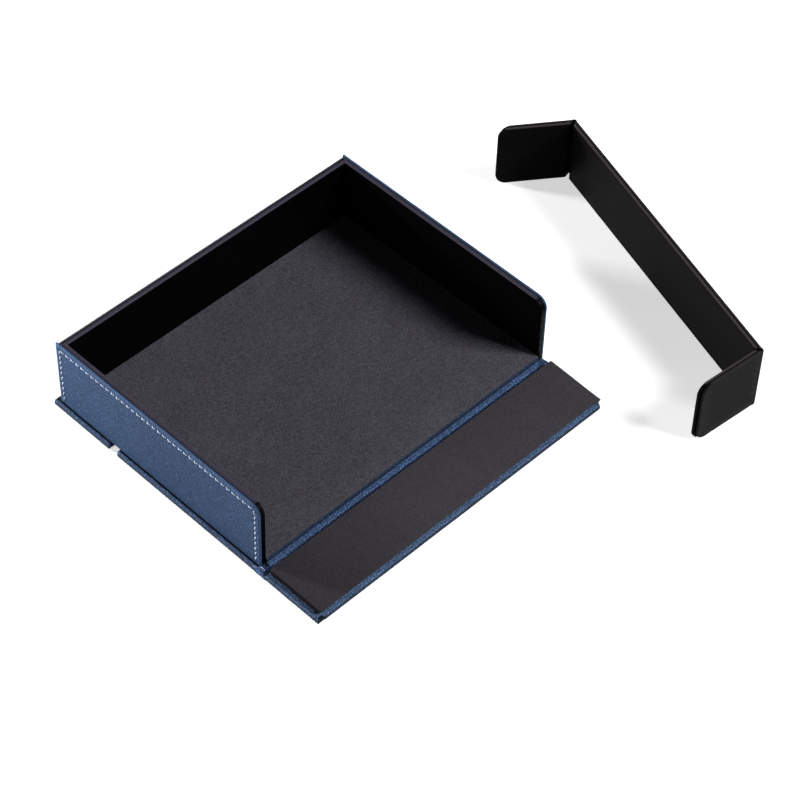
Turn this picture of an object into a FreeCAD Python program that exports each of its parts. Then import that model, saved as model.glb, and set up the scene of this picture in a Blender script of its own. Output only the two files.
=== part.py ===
import FreeCAD, Part
import math
import os

# Dice tray with a folding cover, and its loose three-panel folding wall.
# +X is to the right and -Y to the front, where the tray is open. +Z is up.
# The origin is under the middle of the tray, on the surface it stands on.

# Tray
tray_width = 175.4
tray_depth = 130.6
tray_height = 40.0
wall_corner_radius = 5.5
floor_board_thickness = 2.3
felt_thickness = 0.8

# Walls, from outside to inside: outer panel, core wall, lining
outer_board_thickness = 0.8
outer_skin_thickness = 0.3
core_wall_thickness = 1.2
lining_thickness = 1.0
wall_top_step = 0.3
outer_past_back = 0.6

# Folding cover under the tray
cover_board_thickness = 1.6
cover_skin_thickness = 0.4
cover_past_left = 2.3
cover_past_right = 0.3
cover_past_back = 2.8
main_corner_radius = 1.6
rear_corner_radius = 1.2
cover_edge_radius = 0.7
main_panel_depth = 90.9

# Folds of the cover
fold_radius = 0.9
fold_clearance = 0.15
strip_thickness = 1.0
strip_upright_thickness = 0.4
rear_fold_gap = 4.7
rear_strip_inset = 4.5
closing_gap = 0.3
flap_edge_gap = 0.3

# Front flap and the thick lining panel on it
flap_depth = 32.8
flap_short_right = 1.6
flap_left_corner_radius = 0.6
flap_right_corner_radius = 2.0
lining_inset_left = 2.7
lining_inset_right = 0.2
lining_inset_front = 2.3
flap_lining_board_thickness = 2.4
black_skin_thickness = 0.3
panel_corner_radius = 1.0
panel_edge_radius = 0.25

# Magnet bars: they hold the flap shut against the side walls
magnet_length = 14.0
magnet_width = 5.0
wall_magnet_thickness = 0.8
flap_magnet_thickness = 1.5
magnet_from_fold = 12.0
magnet_cover_thickness = 0.2

# Stitching on the outer side walls
stitch_pitch = 3.3
stitch_length = 2.2
stitch_radius = 0.22
stitch_inset = 2.6

# Loose folding wall
insert_height = 35.0
insert_side_clearance = 0.7
wing_length = 37.4
insert_board_thickness = 0.85
insert_corner_radius = 5.5
insert_layer_step = 1.2
insert_edge_radius = 0.25
insert_fold_radius = 0.6
insert_fold_gap = 0.15
insert_corner_x = 188.3
insert_corner_y = 10.2
insert_turn_deg = -107.5
rear_wing_opening_deg = 108.4
front_wing_opening_deg = 102.5

# Places that follow from the sizes above
left_x = -tray_width / 2
right_x = tray_width / 2
front_y = -tray_depth / 2
back_y = tray_depth / 2
cover_top = cover_board_thickness + 2 * cover_skin_thickness
cover_left_x = left_x - cover_past_left
cover_right_x = right_x + cover_past_right
panel_front_y = front_y + strip_upright_thickness
main_back_y = front_y + main_panel_depth
rear_front_y = main_back_y + rear_fold_gap
rear_back_y = back_y + cover_past_back
outer_thickness = outer_board_thickness + 2 * outer_skin_thickness
core_outside_x = right_x - outer_thickness
core_inside_x = core_outside_x - core_wall_thickness
well_half_width = core_inside_x - lining_thickness
back_outer_y = back_y - outer_past_back
back_core_outside_y = back_outer_y - outer_thickness
back_core_inside_y = back_core_outside_y - core_wall_thickness
well_back_y = back_core_inside_y - lining_thickness
floor_board_top = cover_top + floor_board_thickness
felt_top = floor_board_top + felt_thickness
inner_wall_top = tray_height - wall_top_step
flap_lining_thickness = flap_lining_board_thickness + 2 * black_skin_thickness
flap_top = cover_top + flap_lining_thickness
front_fold_z = fold_radius
front_fold_y = front_y - closing_gap - (flap_top - front_fold_z)
flap_back_y = front_fold_y - flap_edge_gap
flap_front_y = flap_back_y - flap_depth
flap_right_x = cover_right_x - flap_short_right
rear_fold_y = main_back_y + rear_fold_gap / 2
rear_fold_z = cover_top / 2
insert_layer_thickness = insert_board_thickness + 2 * black_skin_thickness
insert_thickness = 2 * insert_layer_thickness
insert_length = 2 * (well_half_width - insert_side_clearance)

X_AXIS = FreeCAD.Vector(1, 0, 0)
Y_AXIS = FreeCAD.Vector(0, 1, 0)
Z_AXIS = FreeCAD.Vector(0, 0, 1)


def box(low, high):
    """A block between two opposite corners, each given as (x, y, z)."""
    size = [high[i] - low[i] for i in range(3)]
    return Part.makeBox(size[0], size[1], size[2], FreeCAD.Vector(*low))


def cylinder_x(radius, x_start, x_end, y, z):
    """A round bar that lies along X."""
    return Part.makeCylinder(radius, x_end - x_start, FreeCAD.Vector(x_start, y, z), X_AXIS)


def edge_runs_along(edge, axis):
    """True for a straight edge that is parallel to an axis."""
    if not isinstance(edge.Curve, Part.Line):
        return False
    return abs(abs(edge.Curve.Direction.dot(axis)) - 1) < 1e-6


def is_near(value, target):
    return abs(value - target) < 1e-4


def cross_edges(shape, y, z):
    """The straight edges along X that pass through one place in Y and Z."""
    return [edge for edge in shape.Edges
            if edge_runs_along(edge, X_AXIS)
            and is_near(edge.CenterOfMass.y, y) and is_near(edge.CenterOfMass.z, z)]


def soften_faces(shape, axis, radius):
    """Round every edge round the two faces that are square to an axis."""
    edges = []
    for face in shape.Faces:
        normal = face.normalAt(0, 0)
        if isinstance(face.Surface, Part.Plane) and abs(abs(normal.dot(axis)) - 1) < 1e-6:
            edges.extend(face.Edges)
    return shape.makeFillet(radius, edges)


def round_corners(low, high, radii):
    """A block with its upright edges rounded, each by its own radius, where 0 is square.

    The radii are in the order front left, front right, back left, back right.
    """
    block = box(low, high)
    places = [(x, y) for y in (low[1], high[1]) for x in (low[0], high[0])]
    for (x, y), radius in zip(places, radii):
        if radius <= 0:
            continue
        corner = [edge for edge in block.Edges if edge_runs_along(edge, Z_AXIS)
                  and is_near(edge.CenterOfMass.x, x) and is_near(edge.CenterOfMass.y, y)]
        block = block.makeFillet(radius, corner)
    return block


def side_wall(low, high, front_radius, edge_radius):
    """A standing wall square to X, with a large round at its top front corner."""
    wall = box(low, high)
    wall = wall.makeFillet(front_radius, cross_edges(wall, low[1], high[2]))
    return soften_faces(wall, X_AXIS, edge_radius)


def grown(low, high, amount):
    """The two corners of a block, moved outwards by an amount on every side."""
    return [c - amount for c in low], [c + amount for c in high]


def cover_panel(front, back, right, radii):
    """Board and skin of one panel of the cover. The corners at a hinge are square."""
    low = (cover_left_x, front, 0)
    high = (right, back, cover_top)
    outside = soften_faces(round_corners(low, high, radii), Z_AXIS, cover_edge_radius)
    board_low, board_high = grown(low, high, -cover_skin_thickness)
    board = round_corners(board_low, board_high, [radius - cover_skin_thickness for radius in radii])
    return board, outside.cut(board)


def make_cover_main():
    radii = (0, 0, main_corner_radius, main_corner_radius)
    board, skin = cover_panel(panel_front_y, main_back_y, cover_right_x, radii)
    return {"cover_main_board": board, "cover_main_skin": skin}


def make_rear_panel():
    radii = (0, 0, rear_corner_radius, rear_corner_radius)
    board, skin = cover_panel(rear_front_y, rear_back_y, cover_right_x, radii)
    return {"rear_panel_board": board, "rear_panel_skin": skin}


def flap_lining_corners():
    """Opposite corners of the thick lining panel that lies on the flap."""
    low = (cover_left_x + lining_inset_left, flap_front_y + lining_inset_front, cover_top)
    high = (flap_right_x - lining_inset_right, flap_back_y, flap_top)
    return low, high


def magnet_lift():
    """Height of the closed flap's magnets, which the wall magnets match."""
    return front_fold_z + flap_edge_gap + magnet_from_fold


def flap_magnet(side):
    """A bar in the flap's lining board, which reaches half over the wall's magnet when shut."""
    end_y = flap_back_y - magnet_from_fold
    top = flap_top - black_skin_thickness - magnet_cover_thickness
    outer_x = side * (core_inside_x + wall_magnet_thickness / 2)
    inner_x = outer_x - side * magnet_width
    return box((min(inner_x, outer_x), end_y - magnet_length, top - flap_magnet_thickness),
               (max(inner_x, outer_x), end_y, top))


def make_flap():
    room_for_fold = cylinder_x(fold_radius + fold_clearance, cover_left_x - 1, cover_right_x + 1,
                               front_fold_y, front_fold_z)
    board, skin = cover_panel(flap_front_y, flap_back_y, flap_right_x,
                              (flap_left_corner_radius, flap_right_corner_radius, 0, 0))
    skin = skin.cut(room_for_fold)
    board = board.cut(cylinder_x(fold_radius + fold_clearance + cover_skin_thickness,
                                 cover_left_x - 1, cover_right_x + 1, front_fold_y, front_fold_z))
    low, high = flap_lining_corners()
    outside = soften_faces(round_corners(low, high, 4 * [panel_corner_radius]),
                           Z_AXIS, panel_edge_radius)
    lining_board = box(*grown(low, high, -black_skin_thickness))
    lining_skin = outside.cut(lining_board)
    magnets = [flap_magnet(-1), flap_magnet(1)]
    for magnet in magnets:
        lining_board = lining_board.cut(magnet)
    return {"flap_board": board, "flap_skin": skin,
            "flap_lining_board": lining_board, "flap_lining_skin": lining_skin,
            "flap_magnets": Part.makeCompound(magnets)}


def make_front_hinge_strip():
    """Leatherette from under the felt's front edge, across the fold, to a round bead."""
    lying = box((cover_left_x, front_fold_y, 0), (cover_right_x, front_y, strip_thickness))
    bead = cylinder_x(fold_radius, cover_left_x, cover_right_x, front_fold_y, front_fold_z)
    over_cover_edge = box((cover_left_x, front_y, 0), (cover_right_x, panel_front_y, cover_top))
    over_floor_edge = box((-well_half_width, front_y, cover_top),
                          (well_half_width, panel_front_y, floor_board_top))
    return lying.multiFuse([bead, over_cover_edge, over_floor_edge]).removeSplitter()


def make_rear_hinge_strip():
    """Leatherette in the notch behind the main panel, narrower than the panels."""
    low_x = cover_left_x + rear_strip_inset
    high_x = cover_right_x - rear_strip_inset
    lower = rear_fold_z - strip_thickness / 2
    upper = rear_fold_z + strip_thickness / 2
    lying = box((low_x, main_back_y, lower), (high_x, rear_fold_y, upper))
    bead = cylinder_x(fold_radius, low_x, high_x, rear_fold_y, rear_fold_z)
    return lying.fuse(bead).removeSplitter()


def make_floor():
    board = box((-well_half_width, panel_front_y, cover_top),
                (well_half_width, well_back_y, floor_board_top))
    felt = box((-well_half_width, front_y, floor_board_top), (well_half_width, well_back_y, felt_top))
    felt = felt.makeFillet(felt_thickness / 2, cross_edges(felt, front_y, felt_top))
    return {"floor_board": board, "floor_felt": felt}


def wall_magnet(side):
    """The bar in one side wall's core, near its front end."""
    inner_x = side * core_inside_x
    outer_x = side * (core_inside_x + wall_magnet_thickness)
    low_y = front_y + magnet_cover_thickness
    low_z = magnet_lift()
    return box((min(inner_x, outer_x), low_y, low_z),
               (max(inner_x, outer_x), low_y + magnet_width, low_z + magnet_length))


def make_side(side, name):
    """Outer panel, core wall and lining of the left (-1) or right (1) side."""
    def between(first_x, second_x):
        return min(side * first_x, side * second_x), max(side * first_x, side * second_x)

    low_x, high_x = between(right_x, core_outside_x)
    low = (low_x, front_y, cover_top)
    high = (high_x, back_y, tray_height)
    outer = side_wall(low, high, wall_corner_radius, outer_thickness / 3)
    board_low, board_high = grown(low, high, -outer_skin_thickness)
    board = box(board_low, board_high)
    board = board.makeFillet(wall_corner_radius - outer_skin_thickness,
                             cross_edges(board, board_low[1], board_high[2]))

    low_x, high_x = between(core_outside_x, core_inside_x)
    core = side_wall((low_x, front_y, cover_top), (high_x, back_core_outside_y, inner_wall_top),
                     wall_corner_radius, core_wall_thickness / 4)
    core = core.cut(wall_magnet(side))

    low_x, high_x = between(core_inside_x, well_half_width)
    lining = side_wall((low_x, front_y, cover_top), (high_x, back_core_inside_y, inner_wall_top),
                       wall_corner_radius, lining_thickness / 4)
    return {name + "_outer_board": board, name + "_outer_skin": outer.cut(board),
            name + "_core_wall": core, name + "_lining": lining}


def back_layer(low_x, high_x, low_y, high_y, top, edge_radius):
    """One layer of the back wall with its edges softened all round."""
    layer = box((low_x, low_y, cover_top), (high_x, high_y, top))
    return soften_faces(layer, Y_AXIS, edge_radius)


def make_back():
    outer = back_layer(-core_outside_x, core_outside_x, back_core_outside_y, back_outer_y,
                       inner_wall_top, outer_thickness / 3)
    board_low, board_high = grown((-core_outside_x, back_core_outside_y, cover_top),
                                  (core_outside_x, back_outer_y, inner_wall_top),
                                  -outer_skin_thickness)
    board = box(board_low, board_high)
    core = back_layer(-core_inside_x, core_inside_x, back_core_inside_y, back_core_outside_y,
                      inner_wall_top, core_wall_thickness / 4)
    lining = back_layer(-well_half_width, well_half_width, well_back_y, back_core_inside_y,
                        inner_wall_top, lining_thickness / 4)
    return {"back_outer_board": board, "back_outer_skin": outer.cut(board),
            "back_core_wall": core, "back_lining": lining}


def stitch(x, y, z, along, side):
    """Half of a round-ended thread that lies on the wall's outer face at one place."""
    reach = stitch_length / 2 - stitch_radius
    start = FreeCAD.Vector(x, y, z) - along * reach
    thread = Part.makeCylinder(stitch_radius, 2 * reach, start, along)
    for end in (start, start + along * (2 * reach)):
        thread = thread.fuse(Part.makeSphere(stitch_radius, end))
    size = 2 * stitch_length
    outer_half = Part.makeBox(size, size, size, FreeCAD.Vector(0, -size / 2, -size / 2))
    if side < 0:
        outer_half.translate(FreeCAD.Vector(-size, 0, 0))
    outer_half.translate(FreeCAD.Vector(x, y, z))
    return thread.common(outer_half).removeSplitter()


def stitch_places():
    """Middle and direction of each stitch: up the back edge, along the top, down the front."""
    front_line = front_y + stitch_inset
    back_line = back_y - stitch_inset
    top_line = tray_height - stitch_inset
    bottom = cover_top + stitch_pitch / 2
    turn_radius = wall_corner_radius - stitch_inset
    back_run = top_line - bottom
    top_run = back_line - front_line - turn_radius
    turn_run = turn_radius * math.pi / 2
    front_run = top_line - turn_radius - bottom
    total = back_run + top_run + turn_run + front_run
    count = int(total / stitch_pitch)
    places = []
    for index in range(count):
        travelled = (index + 0.5) * total / count
        if travelled < back_run:
            places.append((back_line, bottom + travelled, FreeCAD.Vector(0, 0, 1)))
            continue
        travelled -= back_run
        if travelled < top_run:
            places.append((back_line - travelled, top_line, FreeCAD.Vector(0, -1, 0)))
            continue
        travelled -= top_run
        if travelled < turn_run:
            turned = travelled / turn_radius
            y = front_line + turn_radius * (1 - math.sin(turned))
            z = top_line - turn_radius * (1 - math.cos(turned))
            places.append((y, z, FreeCAD.Vector(0, -math.cos(turned), -math.sin(turned))))
            continue
        travelled -= turn_run
        places.append((front_line, top_line - turn_radius - travelled, FreeCAD.Vector(0, 0, -1)))
    return places


def make_stitching(side):
    face_x = side * right_x
    return Part.makeCompound([stitch(face_x, y, z, along, side) for y, z, along in stitch_places()])


def insert_layer(length, near_face, far_face, end_trim, round_end, mitre_both):
    """Board and skin of one layer of an insert panel, in the panel's own place.

    The panel runs along +X from its fold at 0, its thickness along +Y from the outside,
    and stands on Z 0. Its fold ends are cut at 45 degrees, so two panels can stand square.
    """
    start = insert_fold_radius + insert_fold_gap
    end = length - (start if mitre_both else end_trim)
    outside = box((start, near_face, 0), (end, far_face, insert_height))
    board = box((start + black_skin_thickness, near_face + black_skin_thickness, black_skin_thickness),
                (end - black_skin_thickness, far_face - black_skin_thickness,
                 insert_height - black_skin_thickness))
    if round_end:
        outside = round_far_corners(outside, end, insert_corner_radius)
        board = round_far_corners(board, end - black_skin_thickness,
                                  insert_corner_radius - black_skin_thickness)
    outside = soften_faces(outside, Y_AXIS, insert_edge_radius)
    mitres = [(start, 1)]
    if mitre_both:
        mitres.append((length - start, -1))
    for place, direction in mitres:
        outside = outside.cut(mitre_wedge(place, direction))
        board = board.cut(mitre_wedge(place + direction * black_skin_thickness, direction))
    return board, outside.cut(board)


def round_far_corners(panel, end, radius):
    """Round the two corners at a panel's free end."""
    corners = [edge for edge in panel.Edges
               if edge_runs_along(edge, Y_AXIS) and is_near(edge.CenterOfMass.x, end)]
    return panel.makeFillet(radius, corners)


def mitre_wedge(place, direction):
    """What a 45 degree cut takes off a panel's end, inwards of the fold's middle."""
    reach = 4 * insert_thickness
    fold_y = insert_fold_radius
    points = [FreeCAD.Vector(place, fold_y, -1),
              FreeCAD.Vector(place + direction * reach, fold_y + reach, -1),
              FreeCAD.Vector(place - direction * reach, fold_y + reach, -1),
              FreeCAD.Vector(place - direction * reach, fold_y, -1)]
    face = Part.Face(Part.makePolygon(points + points[:1]))
    return face.extrude(FreeCAD.Vector(0, 0, insert_height + 2))


def insert_panel(name, length, round_end, mitre_both):
    """The two layers of one insert panel. The outer layer of a wing ends a little short."""
    outer_board, outer_skin = insert_layer(length, 0, insert_layer_thickness,
                                           insert_layer_step, round_end, mitre_both)
    inner_board, inner_skin = insert_layer(length, insert_layer_thickness, insert_thickness,
                                           0, round_end, mitre_both)
    return {name + "_outer_board": outer_board, name + "_outer_skin": outer_skin,
            name + "_inner_board": inner_board, name + "_inner_skin": inner_skin}


def direction_at(angle_deg):
    angle = math.radians(angle_deg)
    return FreeCAD.Vector(math.cos(angle), math.sin(angle), 0)


def place_panel(shapes, corner, angle_deg, interior_on_left):
    """Turn a panel to its angle round its outer corner. Its inside is on one hand of its run."""
    placed = {}
    for name, shape in shapes.items():
        moved = shape if interior_on_left else shape.mirror(FreeCAD.Vector(0, 0, 0), Y_AXIS)
        moved = moved.copy()
        moved.rotate(FreeCAD.Vector(0, 0, 0), Z_AXIS, angle_deg)
        moved.translate(corner)
        placed[name] = moved
    return placed


def fold_centre(corner, panel_angle_deg):
    """The middle of a fold, just inside the outer face of the long panel at its end."""
    inward = direction_at(panel_angle_deg - 90)
    return corner + inward * insert_fold_radius


def make_insert():
    rear_corner = FreeCAD.Vector(insert_corner_x, insert_corner_y, 0)
    front_corner = rear_corner + direction_at(insert_turn_deg) * insert_length
    pieces = place_panel(insert_panel("insert_long", insert_length, False, True),
                         rear_corner, insert_turn_deg, False)
    rear_fold = fold_centre(rear_corner, insert_turn_deg)
    front_fold = fold_centre(front_corner, insert_turn_deg)

    rear_angle = insert_turn_deg - rear_wing_opening_deg
    rear_start = rear_fold - direction_at(rear_angle + 90) * insert_fold_radius
    pieces.update(place_panel(insert_panel("insert_rear_wing", wing_length, True, False),
                              rear_start, rear_angle, True))

    front_angle = insert_turn_deg + 180 + front_wing_opening_deg
    front_start = front_fold - direction_at(front_angle - 90) * insert_fold_radius
    pieces.update(place_panel(insert_panel("insert_front_wing", wing_length, True, False),
                              front_start, front_angle, False))

    for name, centre in (("insert_rear_fold", rear_fold), ("insert_front_fold", front_fold)):
        pieces[name] = Part.makeCylinder(insert_fold_radius, insert_height, centre, Z_AXIS)
    return pieces


def build():
    pieces = {}
    pieces.update(make_cover_main())
    pieces.update(make_rear_panel())
    pieces.update(make_flap())
    pieces["front_hinge_strip"] = make_front_hinge_strip()
    pieces["rear_hinge_strip"] = make_rear_hinge_strip()
    pieces.update(make_floor())
    for side, name in ((-1, "left"), (1, "right")):
        pieces.update(make_side(side, name))
        pieces[name + "_stitching"] = make_stitching(side)
    pieces["wall_magnets"] = Part.makeCompound([wall_magnet(-1), wall_magnet(1)])
    pieces.update(make_back())
    pieces.update(make_insert())
    return pieces


os.makedirs("parts", exist_ok=True)
for node, shape in build().items():
    shape.exportStep("parts/" + node + ".step")
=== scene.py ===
import math
import random

import bpy
from mathutils import Matrix, Vector


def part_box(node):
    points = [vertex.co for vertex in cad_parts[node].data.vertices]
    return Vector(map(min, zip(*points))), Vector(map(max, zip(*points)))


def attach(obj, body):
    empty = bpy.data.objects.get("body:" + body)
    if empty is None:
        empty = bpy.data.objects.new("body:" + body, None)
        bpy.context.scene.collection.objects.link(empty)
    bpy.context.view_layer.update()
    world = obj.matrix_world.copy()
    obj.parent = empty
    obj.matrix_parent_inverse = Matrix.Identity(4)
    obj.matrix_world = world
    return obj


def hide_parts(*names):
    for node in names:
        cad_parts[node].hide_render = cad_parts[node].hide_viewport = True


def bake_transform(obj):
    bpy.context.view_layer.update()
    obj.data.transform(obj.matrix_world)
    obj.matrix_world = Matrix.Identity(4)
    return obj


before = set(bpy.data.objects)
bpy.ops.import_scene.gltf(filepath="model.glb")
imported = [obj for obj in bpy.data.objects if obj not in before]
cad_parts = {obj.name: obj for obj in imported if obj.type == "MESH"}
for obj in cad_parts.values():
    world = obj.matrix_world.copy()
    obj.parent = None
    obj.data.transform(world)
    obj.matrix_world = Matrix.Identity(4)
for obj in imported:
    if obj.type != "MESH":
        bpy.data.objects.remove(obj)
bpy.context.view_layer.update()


# Camera, lamps, table and room.
# A high three-quarter view over the tray's front left corner. A soft key lamp stands at the
# front right, three small ones graze the left side and the back, and the room is white.
turn, tilt, roll = math.radians(46.19), math.radians(48.21), math.radians(1.88)
camera_place = (-0.55574, -0.59325, 0.89823)
lens_length, sensor_width = 120.58, 36
aim = (Matrix.Rotation(-turn, 3, "Z") @ Matrix.Rotation(math.pi / 2 - tilt, 3, "X")
       @ Matrix.Rotation(roll, 3, "Z"))
bpy.ops.object.camera_add(location=camera_place, rotation=aim.to_euler())
camera = bpy.context.object
camera.data.lens = lens_length
camera.data.sensor_width = sensor_width
bpy.context.scene.camera = camera


def soft_lamp(name, azimuth, elevation, distance, width, watts):
    """A square lamp that faces the tray, azimuth degrees from +X towards +Y, and raised."""
    around, up = math.radians(azimuth), math.radians(elevation)
    direction = Vector((math.cos(around) * math.cos(up), math.sin(around) * math.cos(up),
                        math.sin(up)))
    bpy.ops.object.light_add(type="AREA", location=direction * distance,
                             rotation=direction.to_track_quat("Z", "Y").to_euler())
    lamp = bpy.context.object
    lamp.name = name
    lamp.data.size = width
    lamp.data.energy = watts
    lamp.visible_camera = False


soft_lamp("key_lamp", azimuth=-57.5, elevation=37.8, distance=2.6, width=0.8, watts=89)
soft_lamp("raking_lamp", azimuth=115, elevation=13, distance=1.2, width=0.14, watts=25)
soft_lamp("left_fill_lamp", azimuth=175, elevation=8, distance=1.2, width=0.2, watts=7)
soft_lamp("back_fill_lamp", azimuth=70, elevation=12, distance=1.6, width=0.2, watts=6)

bpy.context.scene.view_settings.view_transform = "Standard"


def background_rays(tree):
    """Light Path rays that look straight at the room, or at it through gloss or glass."""
    path = tree.nodes.new("ShaderNodeLightPath")
    either = tree.nodes.new("ShaderNodeMath")
    either.operation = "MAXIMUM"
    tree.links.new(path.outputs["Is Camera Ray"], either.inputs[0])
    tree.links.new(path.outputs["Is Glossy Ray"], either.inputs[1])
    any_of = tree.nodes.new("ShaderNodeMath")
    any_of.operation = "MAXIMUM"
    tree.links.new(either.outputs[0], any_of.inputs[0])
    tree.links.new(path.outputs["Is Transmission Ray"], any_of.inputs[1])
    return any_of.outputs[0]


room_light = 0.05
seen_light = 1.0
room = bpy.data.worlds.new("white_room")
bpy.context.scene.world = room
room.use_nodes = True
tree = room.node_tree
dim = tree.nodes["Background"]
dim.inputs["Color"].default_value = (0.93, 0.96, 1.0, 1)
dim.inputs["Strength"].default_value = room_light
white = tree.nodes.new("ShaderNodeBackground")
white.inputs["Color"].default_value = (1, 1, 1, 1)
white.inputs["Strength"].default_value = seen_light
mix = tree.nodes.new("ShaderNodeMixShader")
tree.links.new(background_rays(tree), mix.inputs[0])
tree.links.new(dim.outputs[0], mix.inputs[1])
tree.links.new(white.outputs[0], mix.inputs[2])
tree.links.new(mix.outputs[0], tree.nodes["World Output"].inputs["Surface"])

table_width = 6
table_drop = 0.0001
table_glow = 0.62
bpy.ops.object.select_all(action="DESELECT")
bpy.ops.mesh.primitive_plane_add(size=table_width, location=(0, 0, -table_drop))
table = bpy.context.object
table.name = "pale_table"
table.data.transform(table.matrix_world)
table.matrix_world = Matrix.Identity(4)
pale = bpy.data.materials.new("pale_table_top")
pale.use_nodes = True
tree = pale.node_tree
matt = tree.nodes["Principled BSDF"]
matt.inputs["Base Color"].default_value = (0.8, 0.8, 0.8, 1)
matt.inputs["Roughness"].default_value = 0.9
matt.inputs["Specular IOR Level"].default_value = 0.0
shadowed = tree.nodes.new("ShaderNodeBsdfDiffuse")
shadowed.inputs["Color"].default_value = (0.75, 0.75, 0.75, 1)
glow = tree.nodes.new("ShaderNodeEmission")
glow.inputs["Color"].default_value = (1, 1, 1, 1)
glow.inputs["Strength"].default_value = table_glow
lit = tree.nodes.new("ShaderNodeAddShader")
seen = tree.nodes.new("ShaderNodeMixShader")
tree.links.new(shadowed.outputs[0], lit.inputs[0])
tree.links.new(glow.outputs[0], lit.inputs[1])
tree.links.new(background_rays(tree), seen.inputs[0])
tree.links.new(matt.outputs[0], seen.inputs[1])
tree.links.new(lit.outputs[0], seen.inputs[2])
tree.links.new(seen.outputs[0], tree.nodes["Material Output"].inputs["Surface"])
table.data.materials.append(pale)


# Cover under the tray: main panel and rear panel.
# Pressed board wrapped in grained blue leatherette, its edges turned over and glued. The
# main panel carries the tray; the rear panel folds down behind it.
# The cover's blue is painted lighter and greyer than the walls' blue, as painted light for its shaded
# borders and a painted sheen.
cover_colour = (0.053, 0.086, 0.158)
board_colour = (0.30, 0.29, 0.27)
blue_grain = 0.00068
grain_depth = 0.00009
cut_pace = 0.002


def named_material(name):
    """A new material, its node tree and its shader."""
    material = bpy.data.materials.new(name)
    material.use_nodes = True
    return material, material.node_tree, material.node_tree.nodes["Principled BSDF"]


def add_node(tree, kind, inputs=None, **settings):
    """A shader node with its settings, values and links given together."""
    node = tree.nodes.new(kind)
    for key, value in settings.items():
        setattr(node, key, value)
    for key, value in (inputs or {}).items():
        if isinstance(value, bpy.types.NodeSocket):
            tree.links.new(value, node.inputs[key])
        else:
            node.inputs[key].default_value = value
    return node


def leatherette(name, colour, grain, stretch=(1, 1, 1), depth=0.00006, roughness=0.45,
                contrast=0.3, shine=0.05, shades=(), painted=False):
    """Coated cloth embossed with soft round grain, darker in the creases between grains.

    Each shade is an axis, two places along it and how much tone is left past the second.
    A painted piece also carries a tone in its mesh.
    """
    material, tree, shader = named_material(name)
    place = add_node(tree, "ShaderNodeTexCoord").outputs["Object"]
    wander = add_node(tree, "ShaderNodeTexNoise", {"Vector": place, "Scale": 420, "Detail": 2.0})
    shift = add_node(tree, "ShaderNodeVectorMath", {0: wander.outputs["Color"], 1: (0.5, 0.5, 0.5)},
                     operation="SUBTRACT")
    shift = add_node(tree, "ShaderNodeVectorMath", {0: shift.outputs[0], "Scale": grain * 0.9},
                     operation="SCALE")
    moved = add_node(tree, "ShaderNodeVectorMath", {0: place, 1: shift.outputs[0]}, operation="ADD")
    laid = add_node(tree, "ShaderNodeMapping", {"Vector": moved.outputs[0],
                                                "Scale": tuple(1 / s for s in stretch)})
    cells = add_node(tree, "ShaderNodeTexVoronoi", {"Vector": laid.outputs[0], "Scale": 1 / grain,
                                                    "Smoothness": 0.45, "Randomness": 0.9},
                     feature="SMOOTH_F1")
    creases = add_node(tree, "ShaderNodeMapRange", {"Value": cells.outputs["Distance"],
                                                    "From Min": 0.05, "From Max": 0.52,
                                                    "To Min": 1.0, "To Max": 0.0},
                       interpolation_type="SMOOTHSTEP")
    fine = add_node(tree, "ShaderNodeTexNoise", {"Vector": place, "Scale": 5200, "Detail": 1.0})
    height = add_node(tree, "ShaderNodeMix", {0: 0.15, 2: creases.outputs[0], 3: fine.outputs["Fac"]})
    bump = add_node(tree, "ShaderNodeBump", {"Height": height.outputs[0], "Strength": 1.0,
                                             "Distance": depth})
    patch = add_node(tree, "ShaderNodeTexNoise", {"Vector": place, "Scale": 55, "Detail": 3.0})
    uneven = add_node(tree, "ShaderNodeMapRange", {"Value": patch.outputs["Fac"], "From Min": 0.3,
                                                   "From Max": 0.7, "To Min": -0.04, "To Max": 0.04})
    level = add_node(tree, "ShaderNodeMath", {0: creases.outputs[0], 1: uneven.outputs[0]},
                     operation="ADD", use_clamp=True)
    low = tuple(c * (1 - contrast * 1.6) for c in colour) + (1,)
    high = tuple(c * (1 + contrast * 0.7) for c in colour) + (1,)
    ramp = add_node(tree, "ShaderNodeMix", {0: level.outputs[0], 6: low, 7: high}, data_type="RGBA")
    tone = ramp.outputs[2]
    split = add_node(tree, "ShaderNodeSeparateXYZ", {"Vector": place})
    for axis, first, second, keep in shades:
        shade = add_node(tree, "ShaderNodeMapRange", {"Value": split.outputs[axis],
                                                      "From Min": first, "From Max": second,
                                                      "To Min": 1.0, "To Max": keep},
                         interpolation_type="SMOOTHSTEP")
        tone = add_node(tree, "ShaderNodeVectorMath", {0: tone, "Scale": shade.outputs[0]},
                        operation="SCALE").outputs[0]
    if painted:
        marks = add_node(tree, "ShaderNodeAttribute", attribute_name="tone")
        tone = add_node(tree, "ShaderNodeVectorMath", {0: tone, "Scale": marks.outputs["Fac"]},
                        operation="SCALE").outputs[0]
    rough = add_node(tree, "ShaderNodeMapRange", {"Value": level.outputs[0],
                                                  "To Min": roughness + 0.14,
                                                  "To Max": roughness - 0.03})
    tree.links.new(tone, shader.inputs["Base Color"])
    tree.links.new(rough.outputs[0], shader.inputs["Roughness"])
    tree.links.new(bump.outputs[0], shader.inputs["Normal"])
    shader.inputs["Specular IOR Level"].default_value = shine
    return material


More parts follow.
